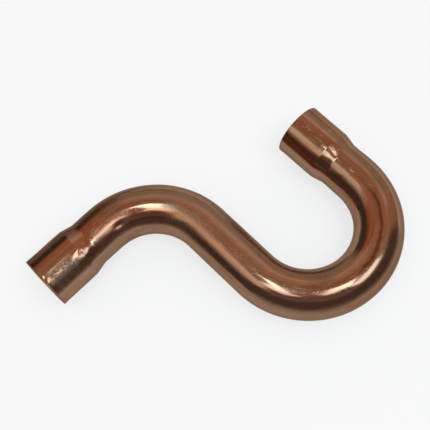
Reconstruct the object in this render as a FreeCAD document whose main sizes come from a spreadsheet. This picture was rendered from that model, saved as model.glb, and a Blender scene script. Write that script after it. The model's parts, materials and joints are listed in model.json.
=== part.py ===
# Copper P-trap with a solder cup at each end, in millimetres.
# It is one length of drawn tube: both ends are swaged out into cups, and the tube is bent
# 90 degrees one way and 180 degrees the other, all in one plane.
# It lies flat, with its bends in the XY plane and +Z up. The outlet cup looks along -X
# and the inlet cup along +Y. The origin is on the floor, at the middle of the box.

import FreeCAD
import Part
import Sketcher
import math
import os

DOCUMENT_NAME = "copper_p_trap"
NODE = "trap_tube"
SHEET = "Sizes"

# Driving dimensions: alias, value, meaning.
SIZES = [
    ("tube_diameter", 22.22, "outside of the bent tube"),
    ("wall_thickness", 1.25, "wall of the tube and of the cups"),
    ("solder_gap", 0.055, "clearance round a like tube in a cup"),
    ("cup_depth", 19.05, "mouth to the end of the straight cup"),
    ("shoulder_length", 6.5, "cup to tube, along the axis"),
    ("crest_radius", 0.75, "inside of the shoulder, where the cup ends"),
    ("hollow_radius", 4.0, "outside of the shoulder, where the tube begins"),
    ("rim_chamfer", 0.3, "both corners of a mouth"),
    ("bend_radius", 31.75, "centreline of both bends"),
    ("outlet_leg", 34.93, "outlet mouth to the first bend"),
    ("middle_leg", 30.16, "first bend to the return bend"),
    ("inlet_leg", 34.93, "return bend to the inlet mouth"),
]
SIZE = {alias: value for alias, value, meaning in SIZES}

# The two chamfers of a rim leave a flat between them.
RIM_SHARE_OF_WALL = 0.4

# Formulas on the sheet's cells.
TUBE_RADIUS = "Sizes.tube_diameter / 2"
TUBE_INNER_RADIUS = "Sizes.tube_diameter / 2 - Sizes.wall_thickness"
CUP_BORE_RADIUS = "Sizes.tube_diameter / 2 + Sizes.solder_gap"
CUP_OUTER_RADIUS = "Sizes.tube_diameter / 2 + Sizes.solder_gap + Sizes.wall_thickness"
CUP_AND_SHOULDER = "Sizes.cup_depth + Sizes.shoulder_length"
RIM = "min(Sizes.rim_chamfer; %g * Sizes.wall_thickness)" % RIM_SHARE_OF_WALL
MIDDLE_LEG_X = "Sizes.outlet_leg + Sizes.bend_radius"
RETURN_BEND_DEPTH = "Sizes.bend_radius + Sizes.middle_leg"
INLET_MOUTH_X = "Sizes.outlet_leg + 3 * Sizes.bend_radius"
INLET_MOUTH_Y = "Sizes.inlet_leg - Sizes.bend_radius - Sizes.middle_leg"
BOX_MIDDLE_X = "(%s + %s) / 2" % (INLET_MOUTH_X, CUP_OUTER_RADIUS)
BOX_MIDDLE_Y = "(%s - 2 * Sizes.bend_radius - Sizes.middle_leg - %s) / 2" % (
    CUP_OUTER_RADIUS,
    TUBE_RADIUS,
)

# Edges of the centreline: straight, first bend and straight, then return bend and straight.
OUTLET_STRETCH = ["Edge1", "Edge2", "Edge3"]
RETURN_STRETCH = ["Edge4", "Edge5"]

# The points of a sketch's curve, and a sketch's own origin.
START, END, CENTRE = range(1, 4)
SKETCH_ORIGIN = (-1, START)

UP = FreeCAD.Vector(0, 0, 1)
VOLUME_TOLERANCE = 1e-3


def point(across, along):
    """A point of a flat sketch."""
    return FreeCAD.Vector(across, along, 0)


def line(start, end):
    """A straight line of a flat sketch."""
    return Part.LineSegment(start, end)


def arc(centre, radius, first_angle, last_angle):
    """An arc of a flat sketch, counter-clockwise, with its angles in radians."""
    return Part.ArcOfCircle(Part.Circle(centre, UP, radius), first_angle, last_angle)


def at_angle(centre, radius, angle):
    """The point of a circle at an angle."""
    return centre + point(radius * math.cos(angle), radius * math.sin(angle))


def relate(sketch, kind, *where):
    """Add a constraint that has no size."""
    sketch.addConstraint(Sketcher.Constraint(kind, *where))


def measure(sketch, name, formula, kind, *where):
    """Add a named size to a sketch, bound to the sheet. The last item of where is its value as drawn."""
    index = sketch.addConstraint(Sketcher.Constraint(kind, *where))
    sketch.renameConstraint(index, name)
    sketch.setExpression("Constraints." + name, formula)


def add_sheet(doc):
    """Put the driving dimensions in a spreadsheet, one to a row."""
    sheet = doc.addObject("Spreadsheet::Sheet", SHEET)
    for row, (alias, value, meaning) in enumerate(SIZES, start=1):
        sheet.set("A%d" % row, alias)
        sheet.set("B%d" % row, str(value))
        sheet.set("C%d" % row, meaning)
        sheet.setAlias("B%d" % row, alias)
    doc.recompute()


def origin_plane(body, role):
    """One of a body's own three planes."""
    for feature in body.Origin.OriginFeatures:
        if feature.Role == role:
            return feature
    raise ValueError("no plane " + role)


def add_sketch(body, name, role):
    """Start a sketch on one of a body's planes."""
    sketch = body.newObject("Sketcher::SketchObject", name)
    sketch.AttachmentSupport = [(origin_plane(body, role), "")]
    sketch.MapMode = "FlatFace"
    return sketch


def draw_centreline(body):
    """Straight, quarter turn, straight, half turn, straight, from shoulder to shoulder."""
    sketch = add_sketch(body, "centreline", "XY_Plane")
    bend = SIZE["bend_radius"]
    shoulder_end = SIZE["cup_depth"] + SIZE["shoulder_length"]
    first_bend = point(SIZE["outlet_leg"], -bend)
    leg_x = SIZE["outlet_leg"] + bend
    return_y = -bend - SIZE["middle_leg"]
    return_bend = point(leg_x + bend, return_y)
    inlet_x = leg_x + 2 * bend
    inlet_y = return_y + SIZE["inlet_leg"] - shoulder_end

    outlet_run = sketch.addGeometry(line(point(shoulder_end, 0), point(SIZE["outlet_leg"], 0)))
    first_turn = sketch.addGeometry(arc(first_bend, bend, 0, math.pi / 2))
    middle_run = sketch.addGeometry(line(point(leg_x, -bend), point(leg_x, return_y)))
    half_turn = sketch.addGeometry(arc(return_bend, bend, math.pi, 2 * math.pi))
    inlet_run = sketch.addGeometry(line(point(inlet_x, return_y), point(inlet_x, inlet_y)))

    relate(sketch, "Horizontal", *SKETCH_ORIGIN, outlet_run, START)
    relate(sketch, "Horizontal", outlet_run)
    relate(sketch, "Tangent", outlet_run, END, first_turn, END)
    relate(sketch, "Tangent", first_turn, START, middle_run, START)
    relate(sketch, "Vertical", middle_run)
    relate(sketch, "Tangent", middle_run, END, half_turn, START)
    relate(sketch, "Tangent", half_turn, END, inlet_run, START)
    relate(sketch, "Vertical", inlet_run)
    relate(sketch, "Equal", first_turn, half_turn)

    measure(sketch, "start", CUP_AND_SHOULDER,
            "DistanceX", *SKETCH_ORIGIN, outlet_run, START, shoulder_end)
    measure(sketch, "outlet_leg", "Sizes.outlet_leg",
            "DistanceX", *SKETCH_ORIGIN, outlet_run, END, SIZE["outlet_leg"])
    measure(sketch, "bend_radius", "Sizes.bend_radius", "Radius", first_turn, bend)
    measure(sketch, "middle_leg", "Sizes.middle_leg", "Distance", middle_run, SIZE["middle_leg"])
    measure(sketch, "inlet_run", "Sizes.inlet_leg - (%s)" % CUP_AND_SHOULDER,
            "Distance", inlet_run, SIZE["inlet_leg"] - shoulder_end)
    return sketch


def draw_tube_wall(body, name, role):
    """The ring of the tube's wall, centred on the sketch's own origin."""
    sketch = add_sketch(body, name, role)
    outer_radius = SIZE["tube_diameter"] / 2
    inner_radius = outer_radius - SIZE["wall_thickness"]
    outside = sketch.addGeometry(Part.Circle(point(0, 0), UP, outer_radius))
    inside = sketch.addGeometry(Part.Circle(point(0, 0), UP, inner_radius))
    relate(sketch, "Coincident", outside, CENTRE, *SKETCH_ORIGIN)
    relate(sketch, "Coincident", inside, CENTRE, *SKETCH_ORIGIN)
    measure(sketch, "outer_radius", TUBE_RADIUS, "Radius", outside, outer_radius)
    measure(sketch, "inner_radius", TUBE_INNER_RADIUS, "Radius", inside, inner_radius)
    return sketch


def shoulder_slope(step, length, crest, hollow):
    """Angle of a straight flank that joins two arcs bending opposite ways.

    The arcs start along the axis, step apart across it and length apart along it.
    """
    radii = crest + hollow
    reach = math.hypot(length, radii - step)
    return math.asin(radii / reach) - math.atan2(radii - step, length)


def draw_cup_wall(body, name):
    """Half section of a cup: x runs from the mouth into the tube, y out from the axis.

    The swaged shoulder is a straight flank between two arcs that bend opposite ways.
    Inside and outside share the centres of those arcs, so the wall keeps its thickness,
    and the inside of the shoulder is the stop that the tube in the cup lands on.
    """
    sketch = add_sketch(body, name, "XY_Plane")
    wall = SIZE["wall_thickness"]
    rim = min(SIZE["rim_chamfer"], RIM_SHARE_OF_WALL * wall)
    tube_radius = SIZE["tube_diameter"] / 2
    bore = tube_radius + SIZE["solder_gap"]
    outside = bore + wall
    depth = SIZE["cup_depth"]
    tube_start = depth + SIZE["shoulder_length"]
    crest = SIZE["crest_radius"]
    hollow = SIZE["hollow_radius"]
    cup_centre = point(depth, bore - crest)
    tube_centre = point(tube_start, tube_radius + hollow)
    slope = shoulder_slope(outside - tube_radius, SIZE["shoulder_length"], crest + wall, hollow)
    up = math.pi / 2 - slope
    down = up + math.pi
    quarter = math.pi / 2

    outer_line = sketch.addGeometry(line(point(rim, outside), point(depth, outside)))
    outer_crest = sketch.addGeometry(arc(cup_centre, crest + wall, up, quarter))
    outer_flank = sketch.addGeometry(
        line(at_angle(cup_centre, crest + wall, up), at_angle(tube_centre, hollow, down)))
    outer_hollow = sketch.addGeometry(arc(tube_centre, hollow, down, 3 * quarter))
    tube_end = sketch.addGeometry(
        line(point(tube_start, tube_radius), point(tube_start, tube_radius - wall)))
    inner_hollow = sketch.addGeometry(arc(tube_centre, hollow + wall, down, 3 * quarter))
    inner_flank = sketch.addGeometry(
        line(at_angle(tube_centre, hollow + wall, down), at_angle(cup_centre, crest, up)))
    inner_crest = sketch.addGeometry(arc(cup_centre, crest, up, quarter))
    inner_line = sketch.addGeometry(line(point(depth, bore), point(rim, bore)))
    inner_rim = sketch.addGeometry(line(point(rim, bore), point(0, bore + rim)))
    mouth = sketch.addGeometry(line(point(0, bore + rim), point(0, outside - rim)))
    outer_rim = sketch.addGeometry(line(point(0, outside - rim), point(rim, outside)))

    relate(sketch, "Horizontal", outer_line)
    relate(sketch, "Tangent", outer_line, END, outer_crest, END)
    relate(sketch, "Tangent", outer_crest, START, outer_flank, START)
    relate(sketch, "Tangent", outer_flank, END, outer_hollow, START)
    relate(sketch, "Coincident", outer_hollow, END, tube_end, START)
    relate(sketch, "Vertical", tube_end)
    relate(sketch, "PointOnObject", outer_hollow, CENTRE, tube_end)
    relate(sketch, "Coincident", tube_end, END, inner_hollow, END)
    relate(sketch, "Coincident", inner_hollow, CENTRE, outer_hollow, CENTRE)
    relate(sketch, "Tangent", inner_hollow, START, inner_flank, START)
    relate(sketch, "Tangent", inner_flank, END, inner_crest, START)
    relate(sketch, "Coincident", inner_crest, CENTRE, outer_crest, CENTRE)
    relate(sketch, "Tangent", inner_crest, END, inner_line, START)
    relate(sketch, "Horizontal", inner_line)
    relate(sketch, "Coincident", inner_line, END, inner_rim, START)
    relate(sketch, "Coincident", inner_rim, END, mouth, START)
    relate(sketch, "Vertical", *SKETCH_ORIGIN, mouth, START)
    relate(sketch, "Vertical", mouth)
    relate(sketch, "Coincident", mouth, END, outer_rim, START)
    relate(sketch, "Coincident", outer_rim, END, outer_line, START)

    measure(sketch, "bore_radius", CUP_BORE_RADIUS,
            "DistanceY", *SKETCH_ORIGIN, inner_line, START, bore)
    measure(sketch, "wall", "Sizes.wall_thickness",
            "DistanceY", inner_line, START, outer_line, END, wall)
    measure(sketch, "depth", "Sizes.cup_depth",
            "DistanceX", *SKETCH_ORIGIN, outer_line, END, depth)
    measure(sketch, "shoulder", "Sizes.shoulder_length",
            "DistanceX", outer_line, END, tube_end, START, SIZE["shoulder_length"])
    measure(sketch, "tube_radius", TUBE_RADIUS,
            "DistanceY", *SKETCH_ORIGIN, tube_end, START, tube_radius)
    measure(sketch, "tube_wall", "Sizes.wall_thickness",
            "DistanceY", tube_end, END, tube_end, START, wall)
    measure(sketch, "crest", "Sizes.crest_radius", "Radius", inner_crest, crest)
    measure(sketch, "hollow", "Sizes.hollow_radius", "Radius", outer_hollow, hollow)
    measure(sketch, "inner_rim_across", RIM, "DistanceY", inner_rim, START, inner_rim, END, rim)
    measure(sketch, "inner_rim_along", RIM, "DistanceX", inner_rim, END, inner_rim, START, rim)
    measure(sketch, "outer_rim_across", RIM, "DistanceY", outer_rim, START, outer_rim, END, rim)
    measure(sketch, "outer_rim_along", RIM, "DistanceX", outer_rim, START, outer_rim, END, rim)
    return sketch


def sweep_tube(body, name, wall_sketch, centreline, stretch):
    """Sweep the ring of the wall along one stretch of the centreline."""
    tube = body.newObject("PartDesign::AdditivePipe", name)
    tube.Profile = wall_sketch
    tube.Spine = (centreline, stretch)
    return tube


def revolve_cup(body, name, wall_sketch):
    """Turn a cup's wall about the leg that it ends."""
    cup = body.newObject("PartDesign::Revolution", name)
    cup.Profile = wall_sketch
    cup.ReferenceAxis = (wall_sketch, ["H_Axis"])
    cup.Angle = 360
    return cup


def build_trap(doc):
    """The bent tube with its two cups, as one body.

    The tube is swept in two stretches, each from a ring whose seam is on the inside of its bend.
    """
    body = doc.addObject("PartDesign::Body", NODE)
    body.Label = NODE
    centreline = draw_centreline(body)

    outlet_ring = draw_tube_wall(body, "outlet_ring", "YZ_Plane")
    outlet_ring.AttachmentOffset = FreeCAD.Placement(FreeCAD.Vector(), FreeCAD.Rotation(UP, 180))
    outlet_ring.setExpression("AttachmentOffset.Base.z", CUP_AND_SHOULDER)
    sweep_tube(body, "outlet_tube", outlet_ring, centreline, OUTLET_STRETCH)
    doc.recompute()

    return_ring = draw_tube_wall(body, "return_ring", "XZ_Plane")
    return_ring.setExpression("AttachmentOffset.Base.x", MIDDLE_LEG_X)
    return_ring.setExpression("AttachmentOffset.Base.z", RETURN_BEND_DEPTH)
    whole_tube = sweep_tube(body, "return_tube", return_ring, centreline, RETURN_STRETCH)
    doc.recompute()

    outlet_wall = draw_cup_wall(body, "outlet_cup_wall")
    outlet_cup = revolve_cup(body, "outlet_cup", outlet_wall)
    doc.recompute()

    inlet_wall = draw_cup_wall(body, "inlet_cup_wall")
    inlet_wall.AttachmentOffset = FreeCAD.Placement(FreeCAD.Vector(), FreeCAD.Rotation(UP, -90))
    inlet_wall.setExpression("AttachmentOffset.Base.x", INLET_MOUTH_X)
    inlet_wall.setExpression("AttachmentOffset.Base.y", INLET_MOUTH_Y)
    inlet_cup = revolve_cup(body, "inlet_cup", inlet_wall)

    body.setExpression("Placement.Base.x", "-(%s)" % BOX_MIDDLE_X)
    body.setExpression("Placement.Base.y", "-(%s)" % BOX_MIDDLE_Y)
    body.setExpression("Placement.Base.z", CUP_OUTER_RADIUS)
    doc.recompute()
    check_metal(body, whole_tube, centreline, [outlet_cup, inlet_cup])
    return body


def check_metal(body, whole_tube, centreline, cups):
    """Compare the tube with its section times its length, and the body with all that made it."""
    outer_radius = SIZE["tube_diameter"] / 2
    inner_radius = outer_radius - SIZE["wall_thickness"]
    section_area = math.pi * (outer_radius ** 2 - inner_radius ** 2)
    tube_volume = section_area * centreline.Shape.Length
    whole_volume = tube_volume + sum(cup.AddSubShape.Volume for cup in cups)
    for made, expected in ((whole_tube.Shape.Volume, tube_volume), (body.Shape.Volume, whole_volume)):
        if abs(made - expected) > VOLUME_TOLERANCE * expected:
            raise ValueError("volume %.2f where %.2f was expected" % (made, expected))


def check_document(doc, bodies):
    """Stop if an object failed or a sub-part isn't one valid solid."""
    for item in doc.Objects:
        if "Invalid" in item.State or "Error" in item.State:
            raise ValueError("%s failed: %s" % (item.Label, item.State))
    for body in bodies:
        if body.Shape.isNull() or not body.Shape.isValid():
            raise ValueError(body.Label + " has no valid shape")
        if len(body.Shape.Solids) != 1:
            raise ValueError("%s has %d solids" % (body.Label, len(body.Shape.Solids)))


def write_parts(bodies):
    """Write each sub-part under its own name."""
    os.makedirs("parts", exist_ok=True)
    for body in bodies:
        body.Shape.exportStep("parts/%s.step" % body.Label)


def main():
    """Build, check and write the trap."""
    doc = FreeCAD.newDocument(DOCUMENT_NAME)
    add_sheet(doc)
    bodies = [build_trap(doc)]
    check_document(doc, bodies)
    write_parts(bodies)
    for body in bodies:
        box = body.Shape.optimalBoundingBox(False, False)
        print("%s %.1f x %.1f x %.1f mm, %.0f mm3" % (
            body.Label, box.XLength, box.YLength, box.ZLength, body.Shape.Volume))


main()
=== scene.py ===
import json
import logging
import math
from dataclasses import dataclass
from enum import Enum
from typing import Any

import bpy
from mathutils import Matrix, Vector


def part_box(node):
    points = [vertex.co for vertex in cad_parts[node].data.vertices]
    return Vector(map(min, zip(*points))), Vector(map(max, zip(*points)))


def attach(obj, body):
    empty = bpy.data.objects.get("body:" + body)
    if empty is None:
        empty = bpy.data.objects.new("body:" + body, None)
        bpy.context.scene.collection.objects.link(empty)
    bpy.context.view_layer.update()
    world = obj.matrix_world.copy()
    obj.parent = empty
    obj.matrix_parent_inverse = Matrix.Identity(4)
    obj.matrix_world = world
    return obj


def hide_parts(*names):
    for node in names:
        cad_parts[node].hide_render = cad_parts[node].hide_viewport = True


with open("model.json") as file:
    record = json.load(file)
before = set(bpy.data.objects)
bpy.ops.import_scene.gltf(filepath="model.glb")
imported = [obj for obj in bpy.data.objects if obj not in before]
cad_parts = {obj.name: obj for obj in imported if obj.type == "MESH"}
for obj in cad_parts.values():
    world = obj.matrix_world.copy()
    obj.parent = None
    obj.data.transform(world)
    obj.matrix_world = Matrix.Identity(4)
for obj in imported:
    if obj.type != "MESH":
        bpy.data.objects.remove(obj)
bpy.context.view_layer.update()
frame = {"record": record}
LOG = logging.getLogger("p_trap")
MM = 0.001

Socket = bpy.types.NodeSocket
Colour = tuple[float, float, float]
Pair = tuple[float, float]
Edges = tuple[float, float, float, float]


@dataclass(frozen=True)
class Pattern:
    """Soft noise whose features are longer one way than another.

    Attributes:
        along: length of a feature along the tube.
        across: its length across the tube.
        seed: shift that makes this noise unlike the others.
        detail: octaves of finer noise.
        shows: values of the noise, which lies about 0.5, where the pattern starts to show and shows in full.
        turn: angle of the long way from the tube's, in degrees.
    """

    along: float
    across: float
    seed: float
    detail: float
    shows: Pair = (0.0, 1.0)
    turn: float = 0.0


class Number:
    """A number that varies over a surface. Sums on it add Math nodes."""

    def __init__(self, graph: "Graph", socket: Socket) -> None:
        """Wrap a socket."""
        self.graph = graph
        self.socket = socket

    def __add__(self, other: Any) -> "Number":
        """self + other"""
        return self.graph.math("ADD", self, other)

    def __sub__(self, other: Any) -> "Number":
        """self - other"""
        return self.graph.math("SUBTRACT", self, other)

    def __rsub__(self, other: Any) -> "Number":
        """other - self"""
        return self.graph.math("SUBTRACT", other, self)

    def __mul__(self, other: Any) -> "Number":
        """self * other"""
        return self.graph.math("MULTIPLY", self, other)

    def __truediv__(self, other: Any) -> "Number":
        """self / other"""
        return self.graph.math("DIVIDE", self, other)

    def __neg__(self) -> "Number":
        """-self"""
        return self.graph.math("MULTIPLY", self, -1.0)

    __radd__ = __add__
    __rmul__ = __mul__

    def between(self, low: Any, high: Any) -> "Number":
        """Held between two numbers."""
        return self.graph.math("MINIMUM", self.graph.math("MAXIMUM", self, low), high)

    def rise(self, low: float, high: float) -> "Number":
        """0 below low, 1 above high, smooth between them. low may be the larger."""
        settings = {"interpolation_type": "SMOOTHSTEP"}
        return self.graph.number(self.graph.node("ShaderNodeMapRange", settings, {0: self, 1: low, 2: high}))

    def within(self, edges: Edges) -> "Number":
        """0 outside the outer two of four edges, 1 between the inner two, smooth between."""
        return self.rise(edges[0], edges[1]) * self.rise(edges[3], edges[2])

    def sine(self) -> "Number":
        """Sine of an angle in radians."""
        return self.graph.math("SINE", self)

    def cosine(self) -> "Number":
        """Cosine of an angle in radians."""
        return self.graph.math("COSINE", self)


class Graph:
    """A node tree of a material, a world or a modifier."""

    def __init__(self, tree: bpy.types.NodeTree) -> None:
        """Start on an empty tree.

        Args:
            tree: the node tree to fill. Nodes that it has are taken out.
        """
        self.tree = tree
        tree.nodes.clear()

    def node(
        self,
        kind: str,
        settings: dict[str, Any] | None = None,
        inputs: dict[Any, Any] | None = None,
    ) -> bpy.types.Node:
        """Make any node.

        Args:
            kind: the node's type.
            settings: its properties, set first.
            inputs: values, sockets or numbers for its sockets, by name or place.

        Returns:
            The new node.
        """
        made = self.tree.nodes.new(kind)
        for name, setting in (settings or {}).items():
            setattr(made, name, setting)
        for name, given in (inputs or {}).items():
            self.feed(made.inputs[name], given)
        return made

    def feed(self, socket: Socket, given: Any) -> None:
        """Set a socket to a value, or link it.

        Args:
            socket: an input.
            given: the value, or the number or socket to link.
        """
        if isinstance(given, Number):
            given = given.socket
        if isinstance(given, Socket):
            self.tree.links.new(given, socket)
        else:
            socket.default_value = given

    def number(self, node: bpy.types.Node, output: Any = 0) -> Number:
        """Wrap one output of a node."""
        return Number(self, node.outputs[output])

    def math(self, operation: str, *given: Any) -> Number:
        """Add one Math node."""
        return self.number(self.node("ShaderNodeMath", {"operation": operation}, dict(enumerate(given))))

    def vector(self, x: Any, y: Any, z: Any) -> Socket:
        """Three numbers as one vector."""
        return self.node("ShaderNodeCombineXYZ", inputs={0: x, 1: y, 2: z}).outputs[0]

    def split(self, vector: Socket) -> list[Number]:
        """The three numbers of a vector."""
        parts = self.node("ShaderNodeSeparateXYZ", inputs={0: vector})
        return [self.number(parts, axis) for axis in range(3)]

    def noise(self, point: Socket, pattern: Pattern) -> Number:
        """Lay a pattern over a surface.

        Args:
            point: the coordinates, with the tube along x.
            pattern: the noise.

        Returns:
            A number about 0.5.
        """
        if pattern.turn:
            inputs = {"Vector": point, "Angle": math.radians(-pattern.turn)}
            point = self.node("ShaderNodeVectorRotate", {"rotation_type": "Z_AXIS"}, inputs).outputs[0]
        size = (pattern.along, pattern.across, pattern.across)
        shift = (pattern.seed, pattern.seed, pattern.seed)
        scaled = self.node("ShaderNodeVectorMath", {"operation": "DIVIDE"}, {0: point, 1: size}).outputs[0]
        shifted = self.node("ShaderNodeVectorMath", {"operation": "ADD"}, {0: scaled, 1: shift}).outputs[0]
        inputs = {"Vector": shifted, "Scale": 1.0, "Detail": pattern.detail}
        return self.number(self.node("ShaderNodeTexNoise", inputs=inputs))

    def shown(self, point: Socket, pattern: Pattern) -> Number:
        """How strongly a pattern shows, from 0 to 1."""
        return self.noise(point, pattern).rise(*pattern.shows)

    def blend(self, factor: Any, below: Any, above: Any) -> Socket:
        """Mix two colours.

        Args:
            factor: 0 for the first colour, 1 for the second.
            below: the first colour.
            above: the second colour.

        Returns:
            The socket of the mixed colour.
        """
        mix = self.node("ShaderNodeMix", {"data_type": "RGBA"}, {0: factor, 6: below, 7: above})
        return mix.outputs[2]

    def attribute(self, name: str) -> Any:
        """Read a piece's attribute in a material, as the node's outputs."""
        return self.node("ShaderNodeAttribute", {"attribute_name": name}).outputs

    def named(self, kind: str, name: str) -> Socket:
        """Read a geometry's attribute in a modifier."""
        return self.node("GeometryNodeInputNamedAttribute", {"data_type": kind}, {"Name": name}).outputs[0]

    def keep(self, kind: str, geometry: Any, name: str, value: Any) -> Socket:
        """Store an attribute on a geometry's points.

        Args:
            kind: the attribute's type.
            geometry: the socket of the geometry.
            name: the attribute's name.
            value: what it holds at each point.

        Returns:
            The socket of the geometry with the attribute.
        """
        settings = {"data_type": kind, "domain": "POINT"}
        inputs = {"Geometry": geometry, "Name": name, "Value": value}
        return self.node("GeometryNodeStoreNamedAttribute", settings, inputs).outputs[0]

    def sample(self, kind: str, geometry: Any, value: Any, index: Number) -> Socket:
        """Read a value at another point.

        Args:
            kind: the value's type.
            geometry: the socket of the geometry that has the point.
            value: the value to read.
            index: the point's number.

        Returns:
            The socket of the value.
        """
        settings = {"data_type": kind, "domain": "POINT"}
        inputs = {"Geometry": geometry, "Value": value, "Index": index}
        return self.node("GeometryNodeSampleIndex", settings, inputs).outputs[0]


def new_material(name: str) -> tuple[bpy.types.Material, Graph]:
    """Make a material with an empty node tree.

    Args:
        name: the material's name.

    Returns:
        The material and its tree.
    """
    made = bpy.data.materials.new(name)
    made.use_nodes = True
    return made, Graph(made.node_tree)


@dataclass(frozen=True)
class TubePlace:
    """Where each point was on the straight tube, before it was bent.

    Attributes:
        point: its three coordinates together.
        run: distance from the outlet mouth along the tube.
        aside: distance to the left of the tube's axis, looking away from the outlet mouth.
        height: distance above the axis.
    """

    point: Socket
    run: Number
    aside: Number
    height: Number

    @classmethod
    def read(cls, graph: Graph, point: Socket) -> "TubePlace":
        """Take the coordinates apart."""
        return cls(point, *graph.split(point))

    def around(self) -> Number:
        """Angle about the tube in radians, 0 for its left side and a quarter turn for its top."""
        return self.run.graph.math("ARCTAN2", self.height, self.aside)

    def towards(self, turn: float) -> Number:
        """Distance from the axis towards an angle about the tube, in degrees, 90 for the top."""
        return self.aside * math.cos(math.radians(turn)) + self.height * math.sin(math.radians(turn))


@dataclass(frozen=True)
class PaintedReflectionLine:
    """A thin dark line painted along the top of the return bend, as a painted reflection of a dark edge above
    the trap.

    Attributes:
        run: distances along the tube where it starts, is full, starts to fade and ends.
        turns: angles about the tube of its start and its end, in degrees, 90 for the top.
        stray: how far it strays to the sides.
        width: its greatest width.
        wander: the pattern of its straying.
        swell: the pattern of its width.
    """

    run: Edges = (160 * MM, 166 * MM, 199 * MM, 207 * MM)
    turns: Pair = (97.0, 80.0)
    stray: float = 3.0 * MM
    width: float = 2.2 * MM
    wander: Pattern = Pattern(7 * MM, 60 * MM, seed=71.0, detail=5.0)
    swell: Pattern = Pattern(2.4 * MM, 60 * MM, seed=73.0, detail=3.0)

    def on(self, graph: Graph, at: TubePlace, radius: float) -> Number:
        """How strongly the line shows.

        Args:
            graph: the material's tree.
            at: the places on the tube.
            radius: the tube's.

        Returns:
            A number from 0 to 1.
        """
        start, _, _, end = self.run
        first, last = (math.radians(turn) for turn in self.turns)
        middle = first - (at.run - start) / (end - start) * (first - last)
        off = (at.around() - middle) * radius + (graph.noise(at.point, self.wander) - 0.5) * self.stray
        across = graph.math("ABSOLUTE", off) / (graph.noise(at.point, self.swell) * self.width)
        return across.rise(1.0, 0.2) * at.run.within(self.run)


@dataclass(frozen=True)
class Marks:
    """What shows on the copper at each point, from 0 to 1.

    Attributes:
        lines: fine lines along the tube, as bare noise.
        mottle: unevenness a few millimetres long, as bare noise.
        grain: grain of the surface, as bare noise.
        red: thin red tarnish, in streaks along the tube.
        film: olive film.
        patches: thicker brown tarnish.
        scuffs: spots rubbed bright.
        scratches: short fine scratches that cross the tube.
        pits: small pits.
        handled: the smudged patch on the outlet cup.
        hazy: the hazy stretch of the outlet leg.
        die_rub: the stretch past the first bend that the bending die rubbed.
        painted_reflection_line: the painted reflection of a dark edge above, as a dark line along the return
            bend.
        former_rub: the inner side of the middle leg and the return bend, which the former rubbed.
        cup: the cups and their shoulders.
        rim: the edges of the mouths.
        inside: the bore.
    """

    lines: Number
    mottle: Number
    grain: Number
    red: Number
    film: Number
    patches: Number
    scuffs: Number
    scratches: Number
    pits: Number
    handled: Number
    hazy: Number
    die_rub: Number
    painted_reflection_line: Number
    former_rub: Number
    cup: Number
    rim: Number
    inside: Number


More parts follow.
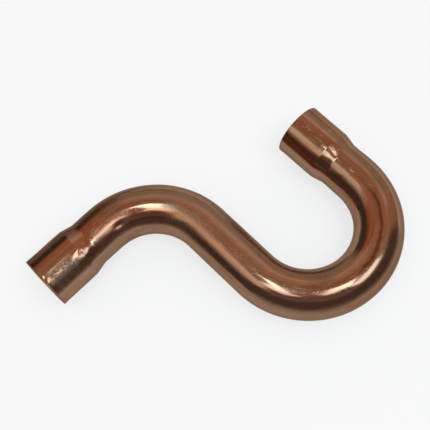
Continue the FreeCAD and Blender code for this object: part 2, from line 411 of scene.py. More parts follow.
@dataclass(frozen=True)
class DrawnCopper:
    """Bright drawn copper that has been bent and handled and has begun to tarnish.

    Patterns follow the tube: they read the place that each point had before the tube was bent. Four
    edges are where a mark starts, is full, starts to fade and ends, along the tube or about it.

    Attributes:
        length: the tube's, before it is bent.
        radius: the tube's.
        bright: the clean metal.
        red: thin red tarnish.
        brown: thicker brown tarnish.
        olive: dull film.
        scuffed: metal laid bare by scuffs and scratches.
        dulled: the handled patch.
        dark: oxide in pits and on the rims, and the colour of the painted reflection line.
        bore: oxide inside the tube.
        grazing: tint of the metal seen at a slant.
        roughness: of the clean metal.
        roughness_range: the least and the most that wear can make it.
        dull_lines: values of the lines' noise where they start to dull the metal and dull it in full.
        oxide: how much of the bore is oxide and not bare metal.
        coat, coat_roughness, coat_ior: the thin clear shine over the metal.
        lines, streaks, patches, film, grain, mottle, rubbed, smudges, pits: patterns of wear.
        scratches: a pattern for each way that the scratches run.
        cup_edge, rim_edge: distances from a mouth where a cup's and a rim's wear end and are full.
        handled_run: edges of the handled patch along the tube.
        handled_turn: the side that it is on, in degrees about the tube.
        handled_height: distances from the axis, towards that side, where it starts and is full.
        hazy_start, hazy_end: along the tube, where the haze starts and is full, and ends and is still full.
        raggedness: how far the ends of the haze and of the die's rub stray along the tube.
        die_rub_run, former_run: edges of the die's and the former's rub along the tube.
        former_turn: edges of the former's rub about the tube, in degrees.
        painted_reflection_line: a dark line painted on the return bend as the reflection of a dark edge
            above.
        line_depth, mottle_depth, grain_depth: heights of the finest relief.
        scratch_depth, pit_depth, painted_reflection_line_depth: depths of what is cut into it, the last a
        shallow groove under the painted line.
        cup_grain_depth, handled_grain_depth: what the grain gains on the cups and on the handled patch.
    """

    length: float
    radius: float
    bright: Colour = (0.36, 0.21, 0.138)
    red: Colour = (0.33, 0.125, 0.060)
    brown: Colour = (0.215, 0.120, 0.072)
    olive: Colour = (0.27, 0.175, 0.105)
    scuffed: Colour = (0.56, 0.38, 0.28)
    dulled: Colour = (0.112, 0.061, 0.042)
    dark: Colour = (0.085, 0.040, 0.026)
    bore: Colour = (0.52, 0.262, 0.165)
    grazing: Colour = (0.56, 0.48, 0.44)
    roughness: float = 0.075
    roughness_range: Pair = (0.05, 0.6)
    dull_lines: Pair = (0.4, 0.7)
    oxide: float = 0.7
    coat: float = 0.15
    coat_roughness: float = 0.06
    coat_ior: float = 1.5
    lines: Pattern = Pattern(60 * MM, 0.55 * MM, seed=3.0, detail=3.0, shows=(0.35, 0.65))
    streaks: Pattern = Pattern(90 * MM, 3.2 * MM, seed=11.0, detail=3.0, shows=(0.44, 0.62))
    patches: Pattern = Pattern(26 * MM, 9 * MM, seed=5.0, detail=4.0, shows=(0.52, 0.74))
    film: Pattern = Pattern(40 * MM, 5 * MM, seed=19.0, detail=5.0, shows=(0.50, 0.66))
    grain: Pattern = Pattern(0.9 * MM, 0.5 * MM, seed=23.0, detail=2.0, shows=(0.48, 0.66))
    mottle: Pattern = Pattern(4 * MM, 2.2 * MM, seed=29.0, detail=4.0)
    rubbed: Pattern = Pattern(7 * MM, 3.5 * MM, seed=31.0, detail=4.0, shows=(0.52, 0.68))
    smudges: Pattern = Pattern(1.6 * MM, 0.8 * MM, seed=37.0, detail=3.0, shows=(0.38, 0.56))
    pits: Pattern = Pattern(0.8 * MM, 0.55 * MM, seed=43.0, detail=1.0, shows=(0.74, 0.80))
    scratches: tuple[Pattern, ...] = tuple(
        Pattern(9 * MM, 0.22 * MM, seed=seed, detail=1.0, shows=(0.68, 0.76), turn=turn)
        for turn, seed in ((7.0, 51.0), (-16.0, 57.0), (48.0, 63.0))
    )
    cup_edge: Pair = (26 * MM, 15.6 * MM)
    rim_edge: Pair = (0.45 * MM, 0.18 * MM)
    handled_run: Edges = (0.5 * MM, 3.5 * MM, 13.5 * MM, 16.5 * MM)
    handled_turn: float = 121.0
    handled_height: Pair = (11.2 * MM, 12.1 * MM)
    hazy_start: Pair = (26 * MM, 28 * MM)
    hazy_end: Pair = (50 * MM, 42 * MM)
    raggedness: float = 14 * MM
    die_rub_run: Edges = (64 * MM, 66 * MM, 84 * MM, 96 * MM)
    former_run: Edges = (78 * MM, 92 * MM, 164 * MM, 176 * MM)
    former_turn: Edges = (30.0, 42.0, 54.0, 64.0)
    # Painted reflection: a dark line painted along the top of the return bend, where a dark edge above would
    # be mirrored.
    painted_reflection_line: PaintedReflectionLine = PaintedReflectionLine()
    line_depth: float = 0.003 * MM
    mottle_depth: float = 0.010 * MM
    grain_depth: float = 0.0012 * MM
    cup_grain_depth: float = 0.0045 * MM
    handled_grain_depth: float = 0.006 * MM
    scratch_depth: float = 0.004 * MM
    pit_depth: float = 0.006 * MM
    painted_reflection_line_depth: float = 0.025 * MM

    def material(self) -> bpy.types.Material:
        """Build the finish.

        Returns:
            The material.
        """
        made, graph = new_material("drawn_copper")
        marks = self.marks(graph)
        bump = {"Strength": 1.0, "Distance": 1.0, "Height": self.relief(marks)}
        surface = graph.node(
            "ShaderNodeBsdfPrincipled",
            inputs={
                "Base Color": self.colour(graph, marks),
                "Metallic": 1.0 - self.oxide * marks.inside,
                "Roughness": self.dullness(marks),
                "Normal": graph.node("ShaderNodeBump", inputs=bump).outputs[0],
                "Specular Tint": (*self.grazing, 1.0),
                "Coat Weight": self.coat * (1.0 - 0.9 * marks.inside) * (1.0 - 0.5 * marks.patches),
                "Coat Roughness": self.coat_roughness,
                "Coat IOR": self.coat_ior,
            },
        )
        graph.node("ShaderNodeOutputMaterial", inputs={"Surface": surface.outputs[0]})
        return made

    def marks(self, graph: Graph) -> Marks:
        """Find what shows at each point.

        Args:
            graph: the material's tree.

        Returns:
            The marks.
        """
        at = TubePlace.read(graph, graph.attribute("drawn")["Vector"])
        inside = Number(graph, graph.attribute("inside")["Fac"])
        to_mouth = graph.math("MINIMUM", at.run, self.length - at.run)
        cup = to_mouth.rise(*self.cup_edge)
        lines = graph.noise(at.point, self.lines)
        grain = graph.noise(at.point, self.grain)
        patches = graph.noise(at.point, self.patches)
        ragged = at.run + (patches - 0.5) * self.raggedness
        facing = at.towards(self.handled_turn).rise(*self.handled_height)
        smudges = graph.shown(at.point, self.smudges)
        former_turn = tuple(math.radians(turn) for turn in self.former_turn)
        scratches, *others = (graph.shown(at.point, pattern) for pattern in self.scratches)
        for other in others:
            scratches = graph.math("MAXIMUM", scratches, other)
        return Marks(
            lines=lines,
            mottle=graph.noise(at.point, self.mottle),
            grain=grain,
            red=graph.shown(at.point, self.streaks) * (0.6 + 0.4 * lines.rise(*self.lines.shows)),
            film=graph.shown(at.point, self.film),
            patches=patches.rise(*self.patches.shows),
            scuffs=graph.shown(at.point, self.rubbed) * grain.rise(*self.grain.shows) * (0.25 + 0.75 * cup),
            scratches=scratches,
            pits=graph.shown(at.point, self.pits),
            handled=at.run.within(self.handled_run) * facing * (0.35 + 0.65 * smudges),
            hazy=to_mouth.rise(*self.hazy_start) * ragged.rise(*self.hazy_end),
            die_rub=ragged.within(self.die_rub_run),
            # Painted reflection of a dark edge above, as a line along the return bend.
            painted_reflection_line=self.painted_reflection_line.on(graph, at, self.radius) * (1.0 - inside),
            former_rub=at.around().within(former_turn) * at.run.within(self.former_run),
            cup=cup,
            rim=to_mouth.rise(*self.rim_edge),
            inside=inside,
        )

    def colour(self, graph: Graph, marks: Marks) -> Socket:
        """Lay tarnish and wear over the clean metal, layer by layer.

        Args:
            graph: the material's tree.
            marks: what shows at each point.

        Returns:
            The socket of the colour.
        """
        colour: Any = (*self.bright, 1.0)
        for amount, layer in (
            (marks.red, self.red),
            (marks.film * 0.8, self.olive),
            (marks.patches * 0.7, self.brown),
            ((marks.scuffs * 0.55 + marks.scratches * 0.6).between(0.0, 0.9), self.scuffed),
            (marks.handled * 0.72, self.dulled),
            (marks.inside * 0.85, self.bore),
            # The dark colour also paints the line that stands in for a reflected dark edge.
            ((marks.pits * 0.6 + marks.rim * 0.35 + marks.painted_reflection_line * 0.7).between(0.0, 0.92), self.dark),
        ):
            colour = graph.blend(amount, colour, (*layer, 1.0))
        return colour

    def dullness(self, marks: Marks) -> Number:
        """Add up how rough the surface is.

        Args:
            marks: what shows at each point.

        Returns:
            The roughness.
        """
        return (
            self.roughness
            + 0.05 * marks.lines.rise(*self.dull_lines)
            + 0.08 * marks.patches
            + 0.05 * marks.film
            + 0.10 * marks.die_rub
            + 0.12 * marks.hazy
            + 0.16 * marks.former_rub
            + 0.20 * marks.scuffs
            + 0.36 * marks.handled
            + 0.15 * marks.scratches
            + 0.25 * marks.rim
            + 0.25 * marks.inside
        ).between(*self.roughness_range)

    def relief(self, marks: Marks) -> Number:
        """Add up the height of the surface's finest relief.

        Args:
            marks: what shows at each point.

        Returns:
            The height, in metres.
        """
        grain = self.grain_depth + self.cup_grain_depth * marks.cup + self.handled_grain_depth * marks.handled
        return (
            marks.lines * self.line_depth
            + marks.mottle * self.mottle_depth
            + marks.grain * grain
            - marks.scratches * self.scratch_depth
            - marks.pits * self.pit_depth
            - marks.painted_reflection_line * self.painted_reflection_line_depth
        )


class Side(Enum):
    """Which face of the wall a point of the half section is on."""

    OUTSIDE = 0.0
    INSIDE = 1.0


@dataclass(frozen=True)
class Dent:
    """A shallow dent in the outside of the tube, in millimetres and degrees.

    Attributes:
        run: distance of its middle from the outlet mouth along the tube.
        turn: direction of its middle about the tube, 90 for the top.
        along: half of its length.
        across: half of its width.
        depth: how deep it is.
        slant: turn of its length from the tube's.
        full: distance from the axis, towards its side, from which it has its full depth.
    """

    run: float
    turn: float
    along: float
    across: float
    depth: float
    slant: float
    full: float = 4.0

    def depth_at(self, graph: Graph, at: TubePlace) -> Number:
        """Find how deep the dent is.

        Args:
            graph: the modifier's tree.
            at: the places on the tube.

        Returns:
            The depth, in metres.
        """
        ahead = at.run - self.run * MM
        beside = at.towards(self.turn + 90.0)
        cosine, sine = math.cos(math.radians(self.slant)), math.sin(math.radians(self.slant))
        along = (ahead * cosine + beside * sine) / (self.along * MM)
        across = (beside * cosine - ahead * sine) / (self.across * MM)
        near = at.towards(self.turn).rise(0.0, self.full * MM)
        return graph.math("EXPONENT", -(along * along + across * across)) * near * (self.depth * MM)


def even(start: float, end: float, step: float) -> list[float]:
    """Evenly spaced values from start to end, at most about a step apart."""
    count = max(1, math.ceil(abs(end - start) / step - 1e-6))
    return [start + (end - start) * index / count for index in range(count + 1)]


@dataclass
class TrapTube:
    """The one piece of the trap: a tube with a swaged cup at each end, bent in one plane.

    Attributes:
        tube_radius: outside of the tube.
        wall: thickness of the wall.
        solder_gap: what a cup's bore has over the tube that goes in, on each side.
        cup_depth: from the mouth to the shoulder.
        shoulder_length: from the cup to the tube.
        crest_radius: inside of the arc where the cup ends.
        hollow_radius: outside of the arc where the tube begins.
        rim_radius: rounding of the mouth's corners.
        bend_radius: of both bends, to the tube's axis.
        outlet_leg, middle_leg, inlet_leg: the straight legs, the end ones with their cups.
        outside_step, inside_step: lengths of a facet along the two faces of the wall.
        arc_step: angle between points on an arc of the shoulder, in radians.
        rim_step: angle between points on a mouth's corner, in radians.
        around: facets round the tube.
        weld: distance under which points are one.
        waves, ripples: patterns of the outside's unevenness.
        wave_depth, ripple_depth: how deep they are.
        shoulder_ripple: how many times deeper again the ripples are at the shoulders.
        shoulder_run: distances from a mouth where those start, are full, start to fade and end.
        rim_fade: distances from a mouth where the unevenness starts and is full.
        dents: the dents in the outside.
    """

    tube_radius: float = 11.11 * MM
    wall: float = 1.25 * MM
    solder_gap: float = 0.055 * MM
    cup_depth: float = 19.05 * MM
    shoulder_length: float = 6.5 * MM
    crest_radius: float = 0.75 * MM
    hollow_radius: float = 4.0 * MM
    rim_radius: float = 0.3 * MM
    bend_radius: float = 31.75 * MM
    outlet_leg: float = 34.93 * MM
    middle_leg: float = 30.16 * MM
    inlet_leg: float = 34.93 * MM
    outside_step: float = 1.1 * MM
    inside_step: float = 2.2 * MM
    arc_step: float = 0.12
    rim_step: float = math.pi / 8
    around: int = 144
    weld: float = 0.0005 * MM
    waves: Pattern = Pattern(17 * MM, 8 * MM, seed=7.0, detail=1.0)
    ripples: Pattern = Pattern(5 * MM, 3.2 * MM, seed=13.0, detail=1.0)
    wave_depth: float = 0.14 * MM
    ripple_depth: float = 0.035 * MM
    shoulder_ripple: float = 5.5
    shoulder_run: Edges = (15 * MM, 20 * MM, 26 * MM, 33 * MM)
    rim_fade: Pair = (0.4 * MM, 3.0 * MM)
    dents: tuple[Dent, ...] = (
        Dent(71.0, 117.0, 6.0, 3.0, 0.16, 10.0),
        Dent(59.0, 131.0, 5.0, 2.4, 0.10, -12.0),
        Dent(213.5, 71.0, 2.4, 1.8, 0.07, 30.0),
        Dent(216.5, 42.0, 2.2, 3.4, 0.16, 0.0),
        Dent(229.5, 69.0, 2.6, 2.0, 0.12, 40.0),
        Dent(19.8, 113.0, 1.5, 1.7, 0.26, -20.0),
        Dent(24.3, 106.0, 1.2, 1.3, 0.08, 15.0),
        Dent(40.5, 124.0, 3.0, 1.2, 0.42, 0.0),
        Dent(181.0, 95.0, 3.0, 1.6, 0.06, 15.0),
        Dent(140.0, 128.0, 7.0, 2.4, 0.08, 8.0),
        Dent(118.0, 84.0, 8.0, 2.0, 0.05, -6.0),
        Dent(49.0, 264.0, 5.0, 3.2, 0.10, 20.0),
        Dent(127.0, 222.0, 6.0, 2.6, 0.09, -15.0),
        Dent(196.0, 300.0, 4.0, 3.0, 0.10, 35.0),
    )

    @property
    def length(self) -> float:
        """Length of the tube before it is bent."""
        return self.outlet_leg + self.middle_leg + self.inlet_leg + 1.5 * math.pi * self.bend_radius

    def end_profile(self, side: Side) -> list[tuple[float, float]]:
        """One wall of an end, from the mouth to the tube.

        Args:
            side: the face of the wall.

        Returns:
            Points as distance from the mouth and radius.
        """
        inner = side is Side.INSIDE
        step = self.inside_step if inner else self.outside_step
        bore = self.tube_radius + self.solder_gap
        cup = bore if inner else bore + self.wall
        tube = self.tube_radius - (self.wall if inner else 0.0)
        crest = self.crest_radius + (0.0 if inner else self.wall)
        hollow = self.hollow_radius + (self.wall if inner else 0.0)
        tube_start = self.cup_depth + self.shoulder_length
        rise = crest + hollow - (cup - tube)
        reach = math.hypot(self.shoulder_length, rise)
        slope = math.asin((crest + hollow) / reach) - math.atan2(rise, self.shoulder_length)

        rim = self.rim_radius
        mouth_side = -1.0 if inner else 1.0
        rim_centre = cup - mouth_side * rim
        points = [
            (rim * (1.0 - math.sin(turn)), rim_centre + mouth_side * rim * math.cos(turn))
            for turn in even(math.pi / 2, 0.0, self.rim_step)
        ]
        points += [(along, cup) for along in even(rim, self.cup_depth, step)[1:]]
        points += [
            (self.cup_depth + crest * math.sin(turn), cup - crest * (1.0 - math.cos(turn)))
            for turn in even(0.0, slope, self.arc_step)[1:]
        ]
        flank_start, flank_radius = points[-1]
        hollow_points = [
            (tube_start - hollow * math.sin(turn), tube + hollow * (1.0 - math.cos(turn)))
            for turn in even(slope, 0.0, self.arc_step)
        ]
        fall = (hollow_points[0][1] - flank_radius) / (hollow_points[0][0] - flank_start)
        points += [
            (along, flank_radius + fall * (along - flank_start))
            for along in even(flank_start, hollow_points[0][0], step)[1:-1]
        ]
        return points + hollow_points

    def half_section(self) -> bpy.types.Object:
        """The whole wall cut along the straight tube, as a closed outline.

        Returns:
            An object whose x runs along the tube and whose z is the radius.
        """
        points: list[tuple[float, float, float]] = []
        for side in Side:
            end = self.end_profile(side)
            step = self.inside_step if side is Side.INSIDE else self.outside_step
            tube_start, radius = end[-1]
            middle = [(along, radius) for along in even(tube_start, self.length - tube_start, step)[1:-1]]
            far_end = [(self.length - along, radius) for along, radius in reversed(end)]
            wall = [(along, radius, side.value) for along, radius in end + middle + far_end]
            points += reversed(wall) if side is Side.INSIDE else wall
        mesh = bpy.data.meshes.new("half_section")
        mesh.from_pydata([(along, 0.0, radius) for along, radius, _ in points], [], [])
        inside = mesh.attributes.new("inside", "FLOAT", "POINT")
        inside.data.foreach_set("value", [value for _, _, value in points])
        outline = bpy.data.objects.new("trap_tube_body", mesh)
        bpy.context.scene.collection.objects.link(outline)
        return outline

    @property
    def sizes(self) -> dict[str, float]:
        """What the nodes that shape the half section take.

        Returns:
            Each size by the name of its input.
        """
        return {
            "Around": self.around,
            "Bend Radius": self.bend_radius,
            "Outlet Leg": self.outlet_leg,
            "Middle Leg": self.middle_leg,
            "Inlet Leg": self.inlet_leg,
            "Wave Depth": self.wave_depth,
            "Ripple Depth": self.ripple_depth,
            "Shoulder Ripple": self.shoulder_ripple,
        }

    def build(self, finish: bpy.types.Material) -> bpy.types.Object:
        """Revolve the half section, bend it and lay it where the frame has the trap.

        Args:
            finish: the tube's material.

        Returns:
            The finished piece as a plain mesh.
        """
        outline = self.half_section()
        inputs = {**self.sizes, "Finish": finish}
        modifier = outline.modifiers.new("turn_and_bend", "NODES")
        modifier.node_group = self.tree()
        for socket in modifier.node_group.interface.items_tree:
            if socket.name in inputs:
                modifier[socket.identifier] = inputs[socket.name]
        shaped = bpy.data.meshes.new_from_object(outline.evaluated_get(bpy.context.evaluated_depsgraph_get()))
        outline.modifiers.clear()
        outline.data = shaped
        mouth = next(m for m in frame["record"]["mounts"] if m["name"] == "outlet_cup")
        place = Vector((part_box("trap_tube")[0].x, mouth["pos_m"][1], mouth["pos_m"][2]))
        shaped.transform(Matrix.Translation(place))
        shaped.name = outline.name
        return outline

    def tree(self) -> bpy.types.NodeTree:
        """Make the nodes that turn the half section into the finished tube.

        Returns:
            The node group. Its inputs are the half section, the sizes and the finish.
        """
        tree = bpy.data.node_groups.new("turn_and_bend", "GeometryNodeTree")
        kinds = {"Half Section": "NodeSocketGeometry"}
        for name, value in self.sizes.items():
            kinds[name] = "NodeSocketInt" if isinstance(value, int) else "NodeSocketFloat"
        kinds["Finish"] = "NodeSocketMaterial"
        for name, kind in kinds.items():
            tree.interface.new_socket(name, in_out="INPUT", socket_type=kind)
        tree.interface.new_socket("Tube", in_out="OUTPUT", socket_type="NodeSocketGeometry")
        graph = Graph(tree)
        given = graph.node("NodeGroupInput")
        size = {name: graph.number(given, name) for name in self.sizes}
        made = self.revolved(graph, given.outputs["Half Section"], size["Around"])
        at = TubePlace.read(graph, graph.named("FLOAT_VECTOR", "drawn"))
        bent = self.bent(graph, size, at, self.shrinkage(graph, size, at))
        for kind, extra in (
            ("GeometryNodeSetPosition", {"Position": bent}),
            ("GeometryNodeMergeByDistance", {"Distance": self.weld}),
            ("GeometryNodeSetShadeSmooth", {}),
            ("GeometryNodeRealizeInstances", {}),
            ("GeometryNodeSetMaterial", {"Material": given.outputs["Finish"]}),
        ):
            made = graph.node(kind, inputs={"Geometry": made, **extra}).outputs[0]
        graph.node("NodeGroupOutput", inputs={0: made})
        return tree

    @staticmethod
    def revolved(graph: Graph, section: Socket, around: Number) -> Socket:
        """Turn the half section about the x axis.

        Args:
            graph: the modifier's tree.
            section: the half section.
            around: facets round the tube.

        Returns:
            A grid with a row for each point of the half section. It keeps where each of its points is on
            the straight tube, as "drawn", and the side of the wall, as "inside".
        """
        section_size = graph.node("GeometryNodeAttributeDomainSize", inputs={0: section})
        count = graph.number(section_size, "Point Count")
        inputs = {"Size X": 1.0, "Size Y": 1.0, "Vertices X": count + 1.0, "Vertices Y": around + 1.0}
        grid = graph.node("GeometryNodeMeshGrid", inputs=inputs).outputs[0]
        place = graph.node("GeometryNodeInputPosition").outputs[0]
        across, turn, _ = graph.split(place)
        index = graph.math("MODULO", graph.math("ROUND", (across + 0.5) * count), count)
        along, _, radius = graph.split(graph.sample("FLOAT_VECTOR", section, place, index))
        angle = (0.5 - turn) * (2.0 * math.pi)
        drawn = graph.vector(along, radius * angle.cosine(), radius * angle.sine())
        side = graph.sample("FLOAT", section, graph.named("FLOAT", "inside"), index)
        kept = graph.keep("FLOAT_VECTOR", grid, "drawn", drawn)
        return graph.keep("FLOAT", kept, "inside", side)

    def shrinkage(self, graph: Graph, size: dict[str, Number], at: TubePlace) -> Number:
        """How the waves, ripples and dents draw the outside towards the tube's axis.

        Args:
            graph: the modifier's tree.
            size: its inputs.
            at: the places on the tube.

        Returns:
            A factor for the distance from the axis.
        """
        quarter = size["Bend Radius"] * (math.pi / 2)
        length = size["Outlet Leg"] + size["Middle Leg"] + size["Inlet Leg"] + 3.0 * quarter
        from_mouth = graph.math("MINIMUM", at.run, length - at.run)
        depth = graph.noise(at.point, self.waves) * size["Wave Depth"]
        rippled = 1.0 + size["Shoulder Ripple"] * from_mouth.within(self.shoulder_run)
        depth = depth + graph.noise(at.point, self.ripples) * size["Ripple Depth"] * rippled
        for dent in self.dents:
            depth = depth + dent.depth_at(graph, at)
        outside = 1.0 - Number(graph, graph.named("FLOAT", "inside"))
        radius = graph.math("SQRT", at.aside * at.aside + at.height * at.height)
        return 1.0 - depth * outside * from_mouth.rise(*self.rim_fade) / radius

    @staticmethod
    def bent(graph: Graph, size: dict[str, Number], at: TubePlace, shrinkage: Number) -> Socket:
        """Where the points go when the tube is bent.

        Args:
            graph: the modifier's tree.
            size: its inputs.
            at: the places on the straight tube.
            shrinkage: factor for the distance from the axis.

        Returns:
            The socket of the new positions.
        """
        bend = size["Bend Radius"]
        outlet, middle, inlet = (size[name] for name in ("Outlet Leg", "Middle Leg", "Inlet Leg"))
        aside, height = at.aside * shrinkage, at.height * shrinkage
        quarter = bend * (math.pi / 2)
        middle_start = outlet + quarter
        return_start = middle_start + middle
        inlet_start = return_start + 2.0 * quarter
        first_turn = ((at.run - outlet) / bend).between(0.0, math.pi / 2)
        return_turn = ((at.run - return_start) / bend).between(0.0, math.pi)
        first_run = graph.math("MINIMUM", at.run, outlet)
        middle_run = (at.run - middle_start).between(0.0, middle)
        last_run = (at.run - inlet_start).between(0.0, inlet)
        centre_x = first_run + bend * first_turn.sine() + bend * (1.0 - return_turn.cosine())
        centre_y = last_run - middle_run - bend * (1.0 - first_turn.cosine()) - bend * return_turn.sine()
        heading = return_turn - first_turn
        return graph.vector(centre_x - aside * heading.sine(), centre_y + aside * heading.cosine(), height)


def direction(azimuth: float, elevation: float) -> Vector:
    """Unit vector towards an azimuth, 0 for -Y and 90 for +X, and an elevation, in degrees."""
    turn, rise = math.radians(azimuth), math.radians(elevation)
    return Vector((math.sin(turn) * math.cos(rise), -math.cos(turn) * math.cos(rise), math.sin(rise)))


@dataclass(frozen=True)
class PhotoCamera:
    """Where the photograph was taken from.

    Attributes:
        target: the point at the middle of the frame, in the plane of the bends.
        distance: from the target to the camera.
        azimuth: direction of the camera, 0 from -Y and 90 from +X.
        elevation: height of the camera above the horizon, in degrees.
        roll: turn of the frame, in degrees.
        focal_pixels: focal length in pixels of the frame.
        frame_pixels: side of the frame.
        sensor: side of the film, in millimetres.
        clip: nearest and farthest distance that it sees.
    """

    target: tuple[float, float, float] = (2.48 * MM, 16.23 * MM, 12.415 * MM)
    distance: float = 0.3755
    azimuth: float = -39.5
    elevation: float = 68.67
    roll: float = -5.62
    focal_pixels: float = 847.2
    frame_pixels: float = 430.0
    sensor: float = 36.0
    clip: Pair = (0.01, 100.0)

    def place(self) -> None:
        """Make the camera and look through it."""
        lens = bpy.data.cameras.new("photo_camera")
        lens.sensor_fit = "AUTO"
        lens.sensor_width = self.sensor
        lens.lens = self.focal_pixels / self.frame_pixels * self.sensor
        lens.clip_start, lens.clip_end = self.clip
        camera = bpy.data.objects.new("photo_camera", lens)
        back = direction(self.azimuth, self.elevation)
        facing = back.to_track_quat("Z", "Y").to_matrix() @ Matrix.Rotation(math.radians(self.roll), 3, "Z")
        camera.matrix_world = Matrix.Translation(Vector(self.target) + back * self.distance) @ facing.to_4x4()
        bpy.context.scene.collection.objects.link(camera)
        bpy.context.scene.camera = camera


@dataclass(frozen=True)
class Lamp:
    """A flat soft lamp that hangs level over the trap.

    Attributes:
        name: the lamp's name.
        middle: where it hangs.
        size: its two sides.
        turn: direction of its first side, in degrees from +X.
        radiance: brightness of its face.
        colour: tint.
    """

    name: str
    middle: tuple[float, float, float]
    size: Pair
    turn: float
    radiance: float
    colour: Colour = (0.68, 1.0, 1.17)

    def hang(self) -> None:
        """Make the lamp, which the camera doesn't see."""
        light = bpy.data.lights.new(self.name, "AREA")
        light.shape = "RECTANGLE"
        light.size, light.size_y = self.size
        light.color = self.colour
        light.energy = self.radiance * math.pi * self.size[0] * self.size[1]
        lamp = bpy.data.objects.new(self.name, light)
        lamp.location = self.middle
        lamp.rotation_euler = (0.0, 0.0, math.radians(self.turn))
        lamp.visible_camera = False
        bpy.context.scene.collection.objects.link(lamp)


def stage_piece(name: str, corners: list[Vector], faces: list[tuple[int, ...]]) -> bpy.types.Object:
    """Add a plain object that isn't part of the trap.

    Args:
        name: the object's name.
        corners: its points.
        faces: the points of each face.

    Returns:
        The object.
    """
    mesh = bpy.data.meshes.new(name)
    mesh.from_pydata(corners, [], faces)
    piece = bpy.data.objects.new(name, mesh)
    bpy.context.scene.collection.objects.link(piece)
    return piece


@dataclass(frozen=True)
class Sheet:
    """A curved sheet of the studio, seen only in reflections.

    Attributes:
        name: the sheet's name.
        turns: directions of its two ends, in degrees, 0 for -Y and 90 for +X.
        rows: distance and elevation of each row, and how far the row covers what is behind it.
        radiance: its colour and brightness, or one for each row.
        column: width of a column, in degrees. The end columns fade out unless the sheet goes all round.
    """

    name: str
    turns: Pair
    rows: tuple[tuple[float, float, float], ...]
    radiance: tuple[Any, ...]
    column: float = 10.0

    def hang(self) -> None:
        """Make the sheet, which the camera doesn't see and which casts no light or shadow."""
        turns = even(*self.turns, self.column)
        all_round = self.turns[1] - self.turns[0] >= 360.0
        last = len(turns) - 1
        radiance = self.radiance if isinstance(self.radiance[0], tuple) else (self.radiance,) * len(self.rows)
        corners, glow = [], []
        for (distance, elevation, cover), colour in zip(self.rows, radiance):
            for column, turn in enumerate(turns):
                corners.append(direction(turn, elevation) * distance)
                glow += [*colour, cover if all_round or 0 < column < last else 0.0]
        faces = [
            (at, at + 1, at + last + 2, at + last + 1)
            for row in range(len(self.rows) - 1)
            for at in range(row * (last + 1), row * (last + 1) + last)
        ]
        sheet = stage_piece(self.name, corners, faces)
        sheet.data.attributes.new("glow", "FLOAT_COLOR", "POINT").data.foreach_set("color", glow)
        sheet.data.materials.append(self.material())
        for ray in ("camera", "diffuse", "transmission", "volume_scatter", "shadow"):
            setattr(sheet, f"visible_{ray}", False)

    def material(self) -> bpy.types.Material:
        """Build the glow of the sheet.

        Returns:
            The material.
        """
        material, graph = new_material(self.name)
        material.cycles.emission_sampling = "NONE"
        glow = graph.attribute("glow")
        light = graph.node("ShaderNodeEmission", inputs={"Color": glow["Color"]})
        clear = graph.node("ShaderNodeBsdfTransparent")
        inputs = {0: glow["Alpha"], 1: clear.outputs[0], 2: light.outputs[0]}
        cover = graph.node("ShaderNodeMixShader", inputs=inputs)
        graph.node("ShaderNodeOutputMaterial", inputs={"Surface": cover.outputs[0]})
        return material


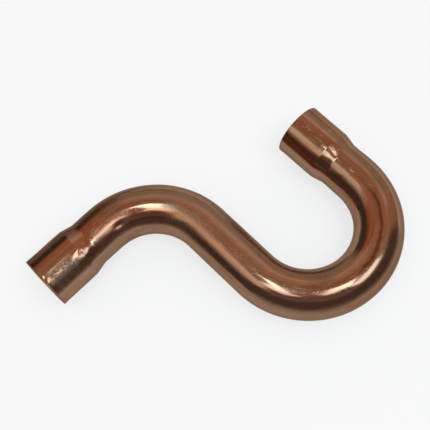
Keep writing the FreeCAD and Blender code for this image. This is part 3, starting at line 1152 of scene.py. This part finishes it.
@dataclass
class Studio:
    """The plain floor, the lamps, and the tent and cards that bright metal mirrors.

    Attributes:
        floor_half: half of the floor's side.
        floor_colour: the floor's paper.
        floor_white: how far the eye and mirrors see plain white instead of the paper and its shadows.
        fill: brightness of the light from all round.
        fill_colour: its tint.
        lamps: the lamps.
        sheets: what reflections see.
    """

    floor_half: float = 6.0
    floor_colour: Colour = (0.9, 0.9, 0.89)
    floor_white: float = 0.70
    fill: float = 0.62
    fill_colour: Colour = (1.12, 1.0, 0.90)
    lamps: tuple[Lamp, ...] = (
        Lamp("overhead_lamp", (-0.198, -0.006, 1.2), (0.128, 0.450), -48.0, 5.3),
        Lamp("left_lamp", (-0.485, -0.150, 1.2), (0.450, 0.330), 75.0, 3.3),
        Lamp("near_front_lamp", (0.150, -0.410, 1.2), (0.250, 0.380), -20.0, 5.1),
        Lamp("middle_front_lamp", (-0.045, -0.540, 1.2), (0.300, 0.190), 69.0, 4.8),
        Lamp("far_front_lamp", (0.450, -0.764, 1.2), (0.540, 0.450), 33.0, 2.6),
    )
    sheets: tuple[Sheet, ...] = (
        Sheet(
            "tent",
            (-180.0, 180.0),
            tuple((3.0, elevation, 1.0) for elevation in (-3.0, 30.0, 45.0, 58.0, 70.0, 90.0)),
            (
                (0.52, 0.46, 0.40),
                (0.52, 0.46, 0.40),
                (0.84, 0.69, 0.62),
                (0.68, 0.45, 0.34),
                (0.54, 0.36, 0.26),
                (0.62, 0.45, 0.36),
            ),
        ),
        Sheet(
            "right_wall",
            (44.0, 86.0),
            ((2.4, 2.0, 0.3), (2.4, 14.0, 0.9), (2.4, 46.0, 0.9), (2.4, 64.0, 0.0)),
            (0.54, 0.31, 0.20),
        ),
        Sheet(
            "back_wall",
            (160.0, 216.0),
            ((2.2, 20.0, 0.0), (2.2, 32.0, 0.95), (2.2, 52.0, 0.95), (2.2, 68.0, 0.0)),
            (0.55, 0.28, 0.17),
        ),
        # Painted shade: a dim sheet over the floor close round the trap, seen only in mirrors, that darkens
        # the floor there in reflections.
        Sheet(
            "mirrored_floor_shade",
            (-180.0, 180.0),
            ((0.004, 2.0, 0.36), (0.17, 0.06, 0.36), (0.30, 0.03, 0.0)),
            (0.34, 0.30, 0.27),
        ),
        Sheet(
            "left_mat",
            (-204.0, -98.0),
            ((0.07, 0.6, 0.0), (0.12, 0.4, 0.65), (0.30, 0.2, 0.85)),
            (0.12, 0.095, 0.085),
        ),
        Sheet(
            "dark_mat",
            (-200.0, 60.0),
            ((0.10, 1.2, 0.0), (0.24, 0.5, 0.7), (1.4, 0.1, 1.0)),
            (0.16, 0.14, 0.13),
        ),
        Sheet(
            "dark_card_left",
            (-202.0, -84.0),
            ((1.4, 0.1, 1.0), (1.4, 12.0, 1.0), (1.4, 24.0, 1.0), (1.4, 38.0, 0.0)),
            (0.105, 0.078, 0.065),
        ),
        Sheet(
            "dark_card_front",
            (-106.0, 66.0),
            ((1.3, 0.1, 0.5), (1.3, 12.0, 1.0), (1.3, 38.0, 1.0), (1.3, 52.0, 0.0)),
            (0.140, 0.108, 0.102),
        ),
        Sheet(
            "pale_card",
            (-138.0, -82.0),
            ((1.2, 38.0, 0.0), (1.2, 47.0, 1.0), (1.2, 58.0, 1.0), (1.2, 68.0, 0.0)),
            (1.25, 1.45, 1.40),
        ),
        Sheet(
            "camera_card",
            (-84.0, 16.0),
            ((1.0, 36.0, 0.0), (1.0, 46.0, 1.0), (1.0, 58.0, 1.0), (1.0, 68.0, 0.0)),
            (0.25, 0.195, 0.18),
        ),
    )

    @staticmethod
    def seen(graph: Graph) -> Number:
        """Tell what the eye or a mirror sees from light that falls on a surface.

        Args:
            graph: the tree of a material or the world.

        Returns:
            1 for the first and 0 for the second.
        """
        path = graph.node("ShaderNodeLightPath")
        eye, *mirrors = (
            graph.number(path, name) for name in ("Is Camera Ray", "Is Glossy Ray", "Is Transmission Ray")
        )
        for mirror in mirrors:
            eye = graph.math("MAXIMUM", eye, mirror)
        return eye

    def floor(self) -> None:
        """Lay the pale floor that the trap lies on."""
        half = self.floor_half
        corners = [Vector((x * half, y * half, 0.0)) for x, y in ((-1, -1), (1, -1), (1, 1), (-1, 1))]
        floor = stage_piece("floor", corners, [(0, 1, 2, 3)])
        material, graph = new_material("pale_floor")
        paper = graph.node("ShaderNodeBsdfDiffuse", inputs={"Color": (*self.floor_colour, 1.0)})
        white = graph.node("ShaderNodeEmission", inputs={"Color": (1.0, 1.0, 1.0, 1.0), "Strength": 1.0})
        inputs = {0: self.floor_white * self.seen(graph), 1: paper.outputs[0], 2: white.outputs[0]}
        surface = graph.node("ShaderNodeMixShader", inputs=inputs)
        graph.node("ShaderNodeOutputMaterial", inputs={"Surface": surface.outputs[0]})
        floor.data.materials.append(material)

    def world(self) -> None:
        """Make the world white to the eye and in reflections, and dimmer as light."""
        world = bpy.data.worlds.new("white_room")
        bpy.context.scene.world = world
        world.use_nodes = True
        graph = Graph(world.node_tree)
        light = (*(self.fill * part for part in self.fill_colour), 1.0)
        colour = graph.blend(self.seen(graph), light, (1.0, 1.0, 1.0, 1.0))
        sky = graph.node("ShaderNodeBackground", inputs={"Color": colour, "Strength": 1.0})
        graph.node("ShaderNodeOutputWorld", inputs={"Surface": sky.outputs[0]})

    def build(self) -> None:
        """Set up the floor, the tent, the cards, the lamps and the world."""
        self.floor()
        for piece in (*self.sheets, *self.lamps):
            piece.hang()
        self.world()
        LOG.info("studio: %d lamps, %d sheets", len(self.lamps), len(self.sheets))


def main() -> None:
    """Build the camera, the trap and the studio, in that order."""
    logging.basicConfig(level=logging.INFO, format="%(message)s")
    scene = bpy.context.scene
    scene.view_settings.view_transform = "Standard"
    PhotoCamera().place()

    trap = TrapTube()
    tube = trap.build(DrawnCopper(trap.length, trap.tube_radius).material())
    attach(tube, "root")
    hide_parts("trap_tube")
    faces = len(tube.data.polygons)
    LOG.info("%s: %d faces, %.1f mm long before bending", tube.name, faces, trap.length / MM)

    Studio().build()


if __name__ == "__main__":
    main()
